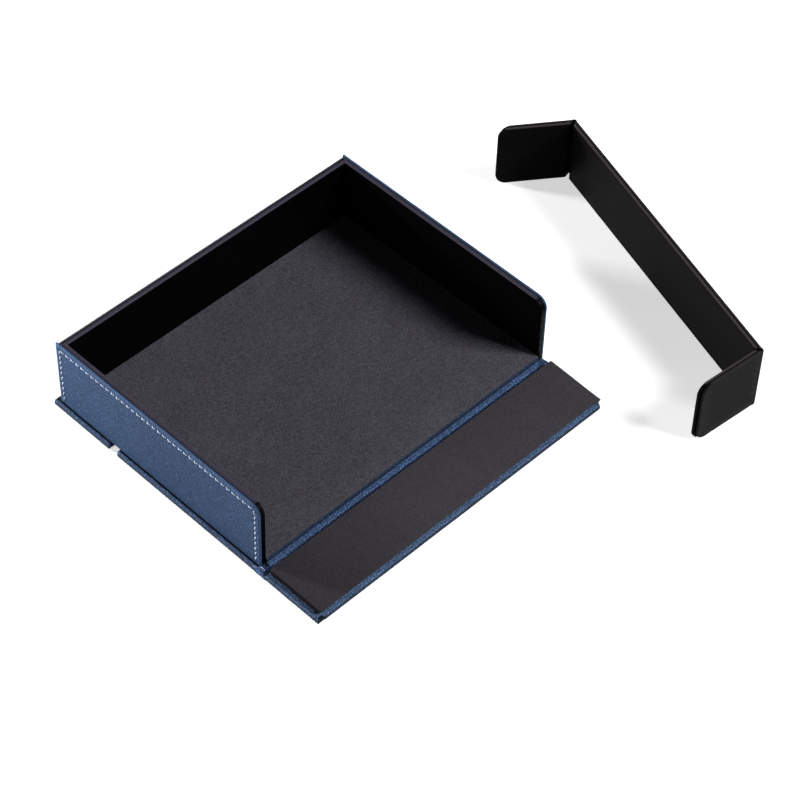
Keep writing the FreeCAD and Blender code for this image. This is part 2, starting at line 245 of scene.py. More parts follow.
def pressed_board(name, colour):
    """Grey board: short pressed fibres and pale specks, quite matt."""
    material, tree, shader = named_material(name)
    place = add_node(tree, "ShaderNodeTexCoord").outputs["Object"]
    fibre = add_node(tree, "ShaderNodeTexNoise", {"Vector": place, "Scale": 1400, "Detail": 4.0,
                                                  "Distortion": 1.5})
    speck = add_node(tree, "ShaderNodeTexNoise", {"Vector": place, "Scale": 300, "Detail": 2.0})
    level = add_node(tree, "ShaderNodeMath", {0: fibre.outputs["Fac"], 1: speck.outputs["Fac"]},
                     operation="MULTIPLY")
    ramp = add_node(tree, "ShaderNodeValToRGB", {"Fac": level.outputs[0]})
    ramp.color_ramp.elements[0].position = 0.1
    ramp.color_ramp.elements[0].color = tuple(c * 0.75 for c in colour) + (1,)
    ramp.color_ramp.elements[1].position = 0.45
    ramp.color_ramp.elements[1].color = tuple(c * 1.15 for c in colour) + (1,)
    bump = add_node(tree, "ShaderNodeBump", {"Height": fibre.outputs["Fac"], "Strength": 0.6,
                                             "Distance": 0.00004})
    tree.links.new(ramp.outputs[0], shader.inputs["Base Color"])
    tree.links.new(bump.outputs[0], shader.inputs["Normal"])
    shader.inputs["Roughness"].default_value = 0.92
    shader.inputs["Specular IOR Level"].default_value = 0.1
    return material


def dress_node(name, material):
    """A CAD node keeps its own mesh and gets a finish."""
    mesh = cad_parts[name].data
    mesh.materials.clear()
    mesh.materials.append(material)


def only(piece):
    """Select this piece alone, and make it the one that operators work on."""
    bpy.ops.object.select_all(action="DESELECT")
    bpy.context.view_layer.objects.active = piece
    piece.select_set(True)


def outer_copy(node, name):
    """A merged copy of a node's outside, its flat faces whole again."""
    piece = bpy.data.objects.new(name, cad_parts[node].data.copy())
    piece.data.materials.clear()
    bpy.context.collection.objects.link(piece)
    only(piece)
    bpy.ops.object.mode_set(mode="EDIT")
    bpy.ops.mesh.select_all(action="SELECT")
    bpy.ops.mesh.remove_doubles(threshold=1e-6)
    bpy.ops.mesh.separate(type="LOOSE")
    bpy.ops.object.mode_set(mode="OBJECT")
    parts = sorted(bpy.context.selected_objects, key=lambda part: part.dimensions.length)
    for inside in parts[:-1]:
        bpy.data.objects.remove(inside)
    piece = parts[-1]
    piece.name = name
    piece.data.name = name
    only(piece)
    bpy.ops.object.mode_set(mode="EDIT")
    bpy.ops.mesh.select_all(action="SELECT")
    bpy.ops.mesh.dissolve_limited(angle_limit=0.02)
    bpy.ops.object.mode_set(mode="OBJECT")
    return piece


def cut_across(piece, direction, places):
    """Cut a piece by planes square to a direction, each at a distance along it."""
    only(piece)
    bpy.ops.object.mode_set(mode="EDIT")
    normal = Vector(direction)
    for place in places:
        bpy.ops.mesh.select_all(action="SELECT")
        bpy.ops.mesh.bisect(plane_co=normal * place, plane_no=normal)
    bpy.ops.object.mode_set(mode="OBJECT")


def steps(start, end, pace):
    """Evenly spaced places between two ends, about a pace apart, without the ends."""
    count = max(1, round((end - start) / pace))
    return [start + (end - start) * i / count for i in range(1, count)]


def slightly_uneven(piece, spread, height):
    """Hand-wrapped covering is never dead flat: soft hollows a few hundredths deep."""
    clouds = bpy.data.textures.new(piece.name + "_clouds", "CLOUDS")
    clouds.noise_scale = spread
    clouds.noise_depth = 1
    only(piece)
    modifier = piece.modifiers.new("uneven", "DISPLACE")
    modifier.texture = clouds
    modifier.texture_coords = "GLOBAL"
    modifier.strength = height
    modifier.mid_level = 0.5
    bpy.ops.object.modifier_apply(modifier="uneven")


def paint_tone(piece, level):
    """Keep in the mesh how light the finish is at each place, next to its written colour."""
    tone = piece.data.attributes.new("tone", "FLOAT", "POINT")
    for vertex, mark in zip(piece.data.vertices, tone.data):
        mark.value = level(vertex.co)


def finish_piece(piece, material, body=None, instead_of=()):
    """Smooth shading, finish, and the CAD body and nodes that it goes with."""
    only(piece)
    bpy.ops.object.shade_smooth_by_angle(angle=math.radians(40))
    piece.data.materials.clear()
    piece.data.materials.append(material)
    if body:
        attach(piece, body)
    if instead_of:
        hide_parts(*instead_of)


blue_flat = leatherette("blue_leatherette", cover_colour, blue_grain, depth=grain_depth,
                        contrast=0.44, shine=0.07, painted=True)
grey_board = pressed_board("pressed_grey_board", board_colour)
ledge_cuts = (0.0003, 0.0006, 0.0010, 0.0014, 0.0016, 0.0023, 0.0026, 0.0030)
ledge_width = 0.0029
turned_edge = 0.00035
highlight_width = 0.0015
side_height = 0.0016


def ledge_painted_light(place):
    """Painted light on the left ledge: a painted highlight far paler than the cover, a little paler
    on the turned edge, and a dark line of painted shade in the crease at the wall's foot; the side
    and the rest are darker.
    """
    across = place.x - low.x
    if across > ledge_width:
        return 0.9
    if place.z < side_height:
        return 0.6
    if across < turned_edge:
        return 1.1
    return 3.7 if across < highlight_width else 0.1


for node, body in (("cover_main", "tray"), ("rear_panel", "rear_panel")):
    low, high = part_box(node + "_skin")
    cover = outer_copy(node + "_skin", node + "_covering")
    cut_across(cover, (1, 0, 0), [low.x + cut for cut in ledge_cuts]
               + steps(low.x + ledge_cuts[-1], high.x, cut_pace))
    cut_across(cover, (0, 1, 0), steps(low.y, high.y, cut_pace))
    paint_tone(cover, ledge_painted_light)
    slightly_uneven(cover, spread=0.012, height=0.00012)
    finish_piece(cover, blue_flat, body, [node + "_skin"])
    dress_node(node + "_board", grey_board)


# Rear hinge strip.
# A strip of the same blue leatherette, folded double and glued to the main panel and the rear
# panel. It stops short of both sides and sags a little in the gap.
low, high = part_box("rear_hinge_strip")
gap_front, gap_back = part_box("cover_main_skin")[1].y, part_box("rear_panel_skin")[0].y
strip_thickness = 0.001
strip_height = 0.0012
strip_lap = 0.0003
sag = 0.0003


def first_edge(name, start, end):
    """One straight edge between two places, from which a strip is drawn out."""
    bpy.ops.object.select_all(action="DESELECT")
    bpy.ops.mesh.primitive_plane_add(size=1, location=(0, 0, 0))
    strip = bpy.context.object
    strip.name = name
    strip.data.name = name
    only(strip)
    bpy.ops.object.mode_set(mode="EDIT")
    bpy.ops.mesh.select_all(action="SELECT")
    bpy.ops.mesh.delete(type="EDGE_FACE")
    bpy.ops.object.mode_set(mode="OBJECT")
    for vertex in strip.data.vertices:
        vertex.select = vertex.co.y > 0
    bpy.ops.object.mode_set(mode="EDIT")
    bpy.ops.mesh.delete(type="VERT")
    bpy.ops.mesh.select_all(action="SELECT")
    bpy.ops.mesh.edge_face_add()
    bpy.ops.object.mode_set(mode="OBJECT")
    for vertex, place in zip(strip.data.vertices, (start, end)):
        vertex.co = place
    return strip


def draw_out(strip, path):
    """Extrude the strip's last edge along a path of places."""
    only(strip)
    bpy.ops.object.mode_set(mode="EDIT")
    bpy.ops.mesh.select_all(action="SELECT")
    for here, there in zip(path, path[1:]):
        bpy.ops.mesh.extrude_edges_move(TRANSFORM_OT_translate={"value": there - here})
    bpy.ops.object.mode_set(mode="OBJECT")


def strip_across(name, left, right, profile):
    """A sheet between two places along X, whose section is a list of (y, z) pairs."""
    path = [Vector((0, y, z)) for y, z in profile]
    strip = first_edge(name, path[0] + Vector((left, 0, 0)), path[0] + Vector((right, 0, 0)))
    draw_out(strip, path)
    return strip


def thicken(strip, thickness, offset):
    """Give a drawn sheet its thickness, with faces that point outwards."""
    only(strip)
    bpy.ops.object.mode_set(mode="EDIT")
    bpy.ops.mesh.select_all(action="SELECT")
    bpy.ops.mesh.normals_make_consistent(inside=False)
    bpy.ops.object.mode_set(mode="OBJECT")
    modifier = strip.modifiers.new("thickness", "SOLIDIFY")
    modifier.thickness = thickness
    modifier.offset = offset
    modifier.use_even_offset = True
    bpy.ops.object.modifier_apply(modifier="thickness")
    bpy.ops.object.mode_set(mode="EDIT")
    bpy.ops.mesh.select_all(action="SELECT")
    bpy.ops.mesh.normals_make_consistent(inside=False)
    bpy.ops.object.mode_set(mode="OBJECT")


reach = gap_back - gap_front + 2 * strip_lap
profile = []
for i in range(15):
    part = i / 14
    profile.append((gap_front - strip_lap + reach * part,
                    strip_height - sag * math.sin(math.pi * part)))
strip = strip_across("rear_hinge_leatherette", low.x, high.x, profile)
cut_across(strip, (1, 0, 0), steps(low.x, high.x, 0.003))
thicken(strip, thickness=strip_thickness, offset=0)
slightly_uneven(strip, spread=0.006, height=0.0001)
paint_tone(strip, lambda place: 1.0)
finish_piece(strip, blue_flat, None, ["rear_hinge_strip"])
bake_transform(strip)


# Front flap.
# The same wrapped board as the cover. At its front corners the turned-over leatherette
# meets in a mitre that leaves a notch between the two folded ends.
low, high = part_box("flap_skin")
notch_middle = 0.0023
notch_shade_reach = 0.0018
notch_bands = ((0.0016, 0.00012), (0.0013, 0.00012))
left_mitre = ((0.001, 0.00008), (0.0005, 0.0001))
right_mitre = ((0.0006, 0.00008), (0.0003, 0.0001))
mitre_depth = 0.0009
corner = 0.006
fine_pace = 0.0004
bulge_top = 0.0018
bulge = 0.0004
flap = outer_copy("flap_skin", "flap_covering")
cut_across(flap, (1, 0, 0), steps(low.x, low.x + corner, fine_pace)
           + steps(low.x + corner, high.x - corner, cut_pace)
           + steps(high.x - corner, high.x, fine_pace))
cut_across(flap, (0, 1, 0), steps(low.y, low.y + corner, fine_pace)
           + steps(low.y + corner, high.y, cut_pace))
slightly_uneven(flap, spread=0.012, height=0.00012)


def push_selected(way):
    """Move the part of the mesh that is selected."""
    bpy.ops.object.mode_set(mode="EDIT")
    bpy.ops.transform.translate(value=way)
    bpy.ops.object.mode_set(mode="OBJECT")


def press_line(piece, start, end, bands, top):
    """Press a groove along a line: each band is a half width and how far it goes down."""
    run = end - start
    for half_width, down in bands:
        only(piece)
        for vertex in piece.data.vertices:
            share = max(0.0, min(1.0, (vertex.co - start).dot(run) / run.length_squared))
            gap = (Vector(vertex.co.xy) - (start + run * share).xy).length
            vertex.select = gap < half_width and vertex.co.z > top
        push_selected((0, 0, -down))


def trim_right_end(piece):
    """The flap's right end was cut a little out of square, shorter at the front."""
    low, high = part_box("flap_skin")
    end_reach, longer_at_fold, out_of_square = 0.004, 0.0006, 0.0013
    for vertex in piece.data.vertices:
        if vertex.co.x > high.x - end_reach:
            forward = (high.y - vertex.co.y) / (high.y - low.y)
            vertex.co.x += longer_at_fold - out_of_square * forward


def deselect_mesh(piece):
    """Nothing in the mesh stays selected."""
    only(piece)
    bpy.ops.object.mode_set(mode="EDIT")
    bpy.ops.mesh.select_all(action="DESELECT")
    bpy.ops.mesh.select_mode(type="VERT")
    bpy.ops.object.mode_set(mode="OBJECT")


deselect_mesh(flap)
press_line(flap, Vector((low.x, low.y, high.z)), Vector((low.x + 0.0035, low.y + 0.0038, high.z)),
           left_mitre, high.z - mitre_depth)
deselect_mesh(flap)
press_line(flap, Vector((high.x, low.y, high.z)), Vector((high.x - 0.003, low.y + 0.003, high.z)),
           right_mitre, high.z - mitre_depth)

# The notch beside the mitre, in the front edge, and the right end trimmed out of square.
deselect_mesh(flap)
for half_width, inwards in notch_bands:
    for vertex in flap.data.vertices:
        vertex.select = (vertex.co.y < low.y + 0.0006
                         and abs(vertex.co.x - low.x - notch_middle) < half_width)
    push_selected((0, inwards, 0))
trim_right_end(flap)
# The middle of the notch's painted shade.
notch = Vector((low.x + notch_middle, low.y, high.z * 0.6))


def flap_painted_light(place):
    """Painted light: paler on top, a painted highlight where the lining shades it, darker round the
    edge as painted shade, and dark inside the notch as painted shade.
    """
    if (place - notch).length < notch_shade_reach:
        return 0.12
    if place.z < 0.0002:
        return 0.95
    if place.z < 0.0006:
        return 0.7
    return 0.6 + 2.1 * max(0.0, min(1.0, (place.z - bulge_top) / 0.0006))


paint_tone(flap, flap_painted_light)

# The leatherette stands out a little in front of the board, below its pulled-over top.
for vertex in flap.data.vertices:
    if vertex.co.y < low.y + 0.0005 and vertex.co.z < bulge_top:
        vertex.co.y -= bulge
finish_piece(flap, blue_flat, "front_flap", ["flap_skin"])
board = outer_copy("flap_board", "flap_inner_board")
trim_right_end(board)
finish_piece(board, grey_board, "front_flap", ["flap_board"])


# Front hinge.
# Below lies the cover's own leatherette, bare between its boards. On it lies an inner strip
# that comes out from under the felt, runs down the floor's edge and across to the flap.
low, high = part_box("front_hinge_strip")
felt_low, felt_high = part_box("floor_felt")
flap_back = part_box("flap_lining_skin")[1].y
fold_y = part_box("flap_skin")[1].y + 0.0003
# The hinge's blue is painted about twice as light as the cover's, as painted light for the flap
# lining's shadow.
hinge_colour_painted_lighter = (0.082, 0.144, 0.292)
bare_front, bare_back = fold_y - 0.0008, felt_low.y - 0.0004
bare_height = 0.00052
bare_rise = 0.00025

profile = [(felt_low.y + 0.0002, bare_height), (bare_back, bare_height)]
for i in range(1, 15):
    part = i / 14
    profile.append((bare_back + (bare_front - bare_back) * part,
                    bare_height + bare_rise * math.sin(math.pi * part)))
hinge = strip_across("front_hinge_leatherette", low.x, high.x, profile)
thicken(hinge, thickness=0.0009, offset=0)

# The inner strip: down the floor's edge, level across the gap, and up a little to the lining.
inner_path = ((0.0001, 0.0050), (0.00035, 0.0048), (0.0004, 0.0042), (0.00035, 0.0036),
              (0.0003, 0.0031), (0.0002, 0.0026), (0.0004, 0.0021), (0.0008, 0.00175),
              (0.0014, 0.0016), (0.0022, 0.00155), (0.003, 0.00155), (0.0035, 0.00158))
profile = [(felt_low.y - forward, height) for forward, height in inner_path]
last_y, last_height = profile[-1]
for i in range(1, 9):
    part = i / 8
    profile.append((last_y + (flap_back + 0.00015 - last_y) * part,
                    last_height + 0.0006 * part * part))
inner = strip_across("inner_strip", felt_low.x, felt_high.x, profile)
thicken(inner, thickness=0.0006, offset=0)

# The turned-over left side is thicker, and carries the cover's ledge on to the flap.
rim_front, rim_back = fold_y - 0.0006, felt_low.y + 0.0005
profile = [(rim_back, 0.0023), (felt_low.y - 0.001, 0.00225), (felt_low.y - 0.0033, 0.0022),
           (felt_low.y - 0.0041, 0.0020), (fold_y, 0.00185), (rim_front, 0.0018)]
rim = strip_across("turned_over_side", low.x + 0.0001, low.x + 0.0026, profile)
cut_across(rim, (0, 1, 0), steps(rim_front, rim_back, 0.0004))
thicken(rim, thickness=0.0016, offset=-1)
modifier = rim.modifiers.new("soft_edges", "BEVEL")
modifier.width = 0.0005
modifier.segments = 3
modifier.limit_method = "ANGLE"
modifier.angle_limit = math.radians(60)
bpy.ops.object.modifier_apply(modifier="soft_edges")

only(hinge)
inner.select_set(True)
rim.select_set(True)
bpy.ops.object.join()
hinge_cuts = (0.0012, 0.0016, 0.002, 0.0026, 0.003, 0.0034)
cut_across(hinge, (1, 0, 0), steps(low.x, high.x, cut_pace))
cut_across(hinge, (0, 1, 0), [felt_low.y - forward for forward in hinge_cuts])
slightly_uneven(hinge, spread=0.005, height=0.00012)
# The strip is painted darker where it runs up the floor's edge under the felt, as painted shade.
blue_hinge = leatherette("blue_leatherette_over_the_edge", hinge_colour_painted_lighter, blue_grain,
                         depth=grain_depth, contrast=0.44,
                         shades=(("Z", 0.0024, 0.0036, 0.4),), painted=True)
rim_width = 0.0027
past_lining = 0.0045


def hinge_painted_light(place):
    """Painted light: paler where it lies across to the flap in the lining's shadow, most of all
    beside the lining, and paler on the turned-over side; past the lining's end it keeps its colour.
    """
    if place.x < low.x + rim_width:
        return 1.3
    if place.x > high.x - past_lining:
        return 1.0
    forward = felt_low.y - place.y
    flat = max(0.0, min(1.0, (forward - 0.0012) / 0.0008))
    beside_lining = max(0.0, min(1.0, (forward - 0.0020) / 0.0006))
    return 1.0 + 1.9 * flat + 0.6 * beside_lining


paint_tone(hinge, hinge_painted_light)
finish_piece(hinge, blue_hinge, None, ["front_hinge_strip"])
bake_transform(hinge)


# Tray floor.
# Pressed board that carries a sheet of dark grey felt, cut to the floor and glued down. Its
# front edge is soft and very slightly wavy.
felt_colour = (0.0625, 0.0590, 0.0710)


def felted(name, colour, roughness, speck, bump_depth, shades=()):
    """Short matted fibres: pale and dark flecks in several sizes, with no shine.

    Each shade is two places along X and how much tone is left past the second.
    """
    material, tree, shader = named_material(name)
    place = add_node(tree, "ShaderNodeTexCoord").outputs["Object"]
    fleck = add_node(tree, "ShaderNodeTexNoise", {"Vector": place, "Scale": 2100, "Detail": 1.0})
    tuft = add_node(tree, "ShaderNodeTexNoise", {"Vector": place, "Scale": 480, "Detail": 3.0,
                                                 "Distortion": 0.6})
    patch = add_node(tree, "ShaderNodeTexNoise", {"Vector": place, "Scale": 45, "Detail": 2.0})
    both = add_node(tree, "ShaderNodeMix", {0: 0.2, 2: fleck.outputs["Fac"], 3: tuft.outputs["Fac"]})
    all_three = add_node(tree, "ShaderNodeMix", {0: 0.1, 2: both.outputs[0], 3: patch.outputs["Fac"]})
    ramp = add_node(tree, "ShaderNodeValToRGB", {"Fac": all_three.outputs[0]})
    ramp.color_ramp.elements[0].position = 0.37
    ramp.color_ramp.elements[0].color = tuple(c * (1 - speck) for c in colour) + (1,)
    ramp.color_ramp.elements[1].position = 0.63
    ramp.color_ramp.elements[1].color = tuple(c * (1 + speck) for c in colour) + (1,)
    tone = ramp.outputs[0]
    split = add_node(tree, "ShaderNodeSeparateXYZ", {"Vector": place})
    for first, second, keep in shades:
        shade = add_node(tree, "ShaderNodeMapRange", {"Value": split.outputs["X"],
                                                      "From Min": first, "From Max": second,
                                                      "To Min": 1.0, "To Max": keep})
        tone = add_node(tree, "ShaderNodeVectorMath", {0: tone, "Scale": shade.outputs[0]},
                        operation="SCALE").outputs[0]
    bump = add_node(tree, "ShaderNodeBump", {"Height": both.outputs[0], "Strength": 1.0,
                                             "Distance": bump_depth})
    tree.links.new(tone, shader.inputs["Base Color"])
    tree.links.new(bump.outputs[0], shader.inputs["Normal"])
    shader.inputs["Roughness"].default_value = roughness
    shader.inputs["Specular IOR Level"].default_value = 0.0
    return material


grey_felt = felted("grey_felt", felt_colour, roughness=1.0, speck=0.42, bump_depth=0.00009)
low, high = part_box("floor_felt")
felt = outer_copy("floor_felt", "felt_sheet")
cut_across(felt, (1, 0, 0), steps(low.x, high.x, cut_pace))
cut_across(felt, (0, 1, 0), steps(low.y, high.y, cut_pace))
slightly_uneven(felt, spread=0.009, height=0.00016)
finish_piece(felt, grey_felt, "tray", ["floor_felt"])
dress_node("floor_board", grey_board)


# Outer covers of the side walls.
# Thin board wrapped in blue leatherette, whose long grain stands upright. A seam runs up the
# back edge, along the top and down the front, and pulls the covering in along its line.
wall_colour = (0.037, 0.067, 0.137)
wall_grain = 0.0006
upright_stretch = (1, 1, 2.0)
seam_inset = 0.0026
seam_turn = 0.0029
low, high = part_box("left_outer_skin")
seam_front, seam_back, seam_top = low.y + seam_inset, high.y - seam_inset, high.z - seam_inset


def from_seam(y, z):
    """How far a place on a side wall is from the line of the stitching."""
    if y < seam_front + seam_turn and z > seam_top - seam_turn:
        return abs(math.hypot(y - seam_front - seam_turn, z - seam_top + seam_turn) - seam_turn)
    if y > seam_back and z > seam_top:
        return math.hypot(y - seam_back, z - seam_top)
    gaps = []
    if z <= seam_top:
        gaps += [abs(y - seam_front), abs(y - seam_back)]
    if y <= seam_back:
        gaps.append(abs(z - seam_top))
    return min(gaps)


groove_cuts = (0.0003, 0.0005, 0.0008)


def in_groove(gap, beside=1.0, far=1.0):
    """Little light reaches into the groove between two layers that are glued face to face."""
    if gap < groove_cuts[0] + 0.00001:
        return 0.1
    return beside + (far - beside) * max(0.0, min(1.0, (gap - 0.0005) / 0.0006))


# Painted light on the wall covers: a painted highlight on the band below the top, on the top rim and
# on the front and back edges, painted shade at the foot, and the whole cover painted lighter towards
# the back.
blue_wall = leatherette("blue_leatherette_upright_grain", wall_colour, wall_grain,
                        stretch=upright_stretch, depth=0.00008, contrast=0.3,
                        shades=(("Z", high.z - 0.0022, high.z - 0.0012, 1.3),
                                ("Z", high.z - 0.0006, high.z - 0.0002, 1.3),
                                ("Z", low.z + 0.0007, low.z + 0.0002, 0.3),
                                ("Y", high.y - 0.0022, high.y - 0.0012, 1.3),
                                ("Y", low.y + 0.0022, low.y + 0.0012, 1.2),
                                ("Y", -0.02, 0.055, 1.2)), painted=True)
near_seam, past_seam_front, past_seam_back = 0.00035, 0.007, 0.0045
wall_pace = 0.0011
seam_pull = ((0.0, 0.0009, 0.00004), (0.0, 0.0006, 0.00005), (0.0, 0.0003, 0.00006),
             (0.0011, 0.0021, -0.00003), (0.0013, 0.0018, -0.00003))
for side, name in ((-1, "left"), (1, "right")):
    low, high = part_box(name + "_outer_skin")
    outside_x, glued_x = (low.x, high.x) if side < 0 else (high.x, low.x)
    cover = outer_copy(name + "_outer_skin", name + "_wall_covering")
    cut_across(cover, (0, 1, 0), steps(low.y, low.y + past_seam_front, near_seam)
               + steps(low.y + past_seam_front, high.y - past_seam_back, wall_pace)
               + steps(high.y - past_seam_back, high.y, near_seam))
    cut_across(cover, (0, 0, 1), steps(low.z, high.z - past_seam_front, wall_pace)
               + steps(high.z - past_seam_front, high.z, near_seam))
    cut_across(cover, (1, 0, 0), [glued_x + side * gap for gap in groove_cuts])
    slightly_uneven(cover, spread=0.011, height=0.00011)
    deselect_mesh(cover)
    for nearest, furthest, inwards in seam_pull:
        for vertex in cover.data.vertices:
            vertex.select = (abs(vertex.co.x - outside_x) < 0.0002
                             and nearest <= from_seam(vertex.co.y, vertex.co.z) < furthest)
        push_selected((-side * inwards, 0, 0))
    # Painted shade in the groove where the cover meets the core wall.
    paint_tone(cover, lambda place: in_groove(abs(place.x - glued_x)))
    finish_piece(cover, blue_wall, "tray", [name + "_outer_skin"])
    dress_node(name + "_outer_board", grey_board)


# Stitching.
# White two-ply thread, about 3.3 mm to the stitch. Each visible stitch is arched, pulled in
# at both ends, and leans a little against the line of the seam.
stitch_pitch = 0.0033
stitch_length = 0.0024
ply_radius = 0.00021
ply_sides = 5
stitch_arch = 0.00034
stitch_wander = 0.00005
low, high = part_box("left_outer_skin")
thread, tree, shader = named_material("white_thread")
place = add_node(tree, "ShaderNodeTexCoord").outputs["Object"]
fuzz = add_node(tree, "ShaderNodeTexNoise", {"Vector": place, "Scale": 4000, "Detail": 2.0})
ramp = add_node(tree, "ShaderNodeMix", {0: fuzz.outputs["Fac"], 6: (0.42, 0.50, 0.62, 1),
                                        7: (0.62, 0.70, 0.81, 1)}, data_type="RGBA")
bump = add_node(tree, "ShaderNodeBump", {"Height": fuzz.outputs["Fac"], "Distance": 0.00003})
tree.links.new(ramp.outputs[2], shader.inputs["Base Color"])
tree.links.new(bump.outputs[0], shader.inputs["Normal"])
shader.inputs["Roughness"].default_value = 0.55
shader.inputs["Specular IOR Level"].default_value = 0.3


def seam_places():
    """Middle and turn of each stitch: up the back, along the top, down the front."""
    bottom = low.z + stitch_pitch / 2
    runs = [seam_top - bottom, seam_back - seam_front - seam_turn, seam_turn * math.pi / 2,
            seam_top - seam_turn - bottom]
    count = int(sum(runs) / stitch_pitch)
    for index in range(count):
        gone = (index + 0.5) * sum(runs) / count
        if gone < runs[0]:
            yield seam_back, bottom + gone, 90.0
        elif gone < sum(runs[:2]):
            yield seam_back - (gone - runs[0]), seam_top, 180.0
        elif gone < sum(runs[:3]):
            angle = (gone - sum(runs[:2])) / seam_turn
            yield (seam_front + seam_turn * (1 - math.sin(angle)),
                   seam_top - seam_turn * (1 - math.cos(angle)), 180.0 + math.degrees(angle))
        else:
            yield seam_front, seam_top - seam_turn - (gone - sum(runs[:3])), 270.0


def one_stitch():
    """Two plies twisted round each other, along Y, arched out along X."""
    plies = []
    for shift in (-0.7, 0.7):
        bpy.ops.object.select_all(action="DESELECT")
        bpy.ops.mesh.primitive_cylinder_add(vertices=ply_sides, radius=ply_radius,
                                            depth=stitch_length, end_fill_type="TRIFAN",
                                            location=(shift * ply_radius, 0, 0))
        ply = bpy.context.object
        bpy.ops.object.transform_apply(location=True, rotation=True, scale=True)
        plies.append(ply)
    only(plies[0])
    plies[1].select_set(True)
    bpy.ops.object.join()
    stitch = plies[0]
    stitch.name = "stitch"
    cut_across(stitch, (0, 0, 1), steps(-stitch_length / 2, stitch_length / 2, stitch_length / 6))
    modifier = stitch.modifiers.new("twist", "SIMPLE_DEFORM")
    modifier.deform_method = "TWIST"
    modifier.deform_axis = "Z"
    modifier.angle = math.radians(300)
    bpy.ops.object.modifier_apply(modifier="twist")
    for vertex in stitch.data.vertices:
        part = abs(vertex.co.z) / (stitch_length / 2)
        slim = 1 - 0.35 * part ** 3
        vertex.co.x = vertex.co.x * slim - stitch_arch * part ** 2.5
        vertex.co.y *= slim
    stitch.data.transform(Matrix.Rotation(math.radians(-90), 4, "X"))
    return stitch


# The thread's end lies loose at the left wall's foot: each bit is its place and its length.
pattern = one_stitch()
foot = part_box("cover_main_skin")[1].z
thread_tail = ((low.y - 0.0011, foot + 0.0001, 0.0017), (low.y - 0.0026, foot, 0.0006))
random.seed(11)
for side, name in ((-1, "left"), (1, "right")):
    face_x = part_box(name + "_outer_skin")[0].x if side < 0 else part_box(name + "_outer_skin")[1].x
    stitches = []
    for y, z, turned in seam_places():
        stitch = pattern.copy()
        stitch.data = pattern.data.copy()
        bpy.context.collection.objects.link(stitch)
        lean = 7 + random.uniform(-2.5, 2.5)
        fit = (Matrix.Translation((face_x + side * 0.00008,
                                   y + random.uniform(-stitch_wander, stitch_wander),
                                   z + random.uniform(-stitch_wander, stitch_wander)))
               @ Matrix.Rotation(math.radians(turned + lean), 4, "X")
               @ Matrix.Diagonal((side, 1, 1, 1)))
        stitch.data.transform(fit)
        if side < 0:
            stitch.data.flip_normals()
        stitches.append(stitch)
    if side < 0:
        for y, z, length in thread_tail:
            tail = pattern.copy()
            tail.data = pattern.data.copy()
            bpy.context.collection.objects.link(tail)
            tail.data.transform(Matrix.Translation((face_x + 0.0002, y, z))
                                @ Matrix.Diagonal((0.5, length / stitch_length, 0.5, 1))
                                @ Matrix.Rotation(math.radians(-90), 4, "Y"))
            stitches.append(tail)
    only(stitches[0])
    for stitch in stitches[1:]:
        stitch.select_set(True)
    bpy.ops.object.join()
    seam = stitches[0]
    seam.name = name + "_seam_thread"
    seam.data.name = seam.name
    finish_piece(seam, thread, "tray", [name + "_stitching"])
bpy.data.objects.remove(pattern)


# Core walls and linings of the sides, and the back wall.
# Thin boards wrapped in smooth black leatherette, glued face to face. A fine groove shows between
# them, darkened by painted shade, and their tops carry a painted highlight that makes them paler than
# their faces.
black_colour = (0.0008, 0.00070, 0.00105)
black_grain = 0.0005
layer_pace = 0.0025
painted_top_highlight = ("Z", 0.03935, 0.0396, 60)
joint_width, lip_width = 0.0001, 0.00016
# Painted tone at the linings' lips: a painted highlight on the left, painted shade on the right, none
# at the back.
left_lip, right_lip, back_lip = 1.35, 0.9, 1.0
black_lining = leatherette("black_lining_leatherette", black_colour, black_grain, depth=0.00001,
                           roughness=0.3, contrast=0.15, shine=0.025,
                           shades=(painted_top_highlight,), painted=True)


def layer_tone(axis, outer_joint, inner_joint, inside, lip):
    """Painted shade where it meets the outer cover and a little at the lining, and a painted tone at
    the lip.
    """
    def level(place):
        if abs(place[axis] - inside) < lip_width:
            return lip
        return min(in_groove(abs(place[axis] - outer_joint)),
                   0.7 if abs(place[axis] - inner_joint) < joint_width else 1.0)
    return level


for name in ("left_core_wall", "left_lining", "right_core_wall", "right_lining"):
    low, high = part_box(name)
    layer = outer_copy(name, name + "_covering")
    cut_across(layer, (0, 1, 0), steps(low.y, high.y, layer_pace))
    cut_across(layer, (0, 0, 1), steps(low.z, high.z, layer_pace))
    side = name.split("_")[0]
    core_low, core_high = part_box(side + "_core_wall")
    if side == "left":
        joints = (core_low.x, core_high.x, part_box("left_lining")[1].x, left_lip)
        inwards = 1
    else:
        joints = (core_high.x, core_low.x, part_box("right_lining")[0].x, right_lip)
        inwards = -1
    if "core" in name:
        cut_across(layer, (1, 0, 0), [joints[0] + inwards * gap for gap in groove_cuts])
    paint_tone(layer, layer_tone(0, *joints))
    slightly_uneven(layer, spread=0.014, height=0.00006)
    finish_piece(layer, black_lining, "tray", [name])
core_low, core_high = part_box("back_core_wall")
inside_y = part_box("back_lining")[0].y
for name in ("back_outer_skin", "back_core_wall", "back_lining"):
    low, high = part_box(name)
    layer = outer_copy(name, name + "_covering")
    cut_across(layer, (1, 0, 0), steps(low.x, high.x, layer_pace))
    cut_across(layer, (0, 0, 1), steps(low.z, high.z, layer_pace))
    paint_tone(layer, layer_tone(1, core_high.y, core_low.y, inside_y, back_lip))
    slightly_uneven(layer, spread=0.014, height=0.00006)
    finish_piece(layer, black_lining, "tray", [name])
dress_node("back_outer_board", grey_board)


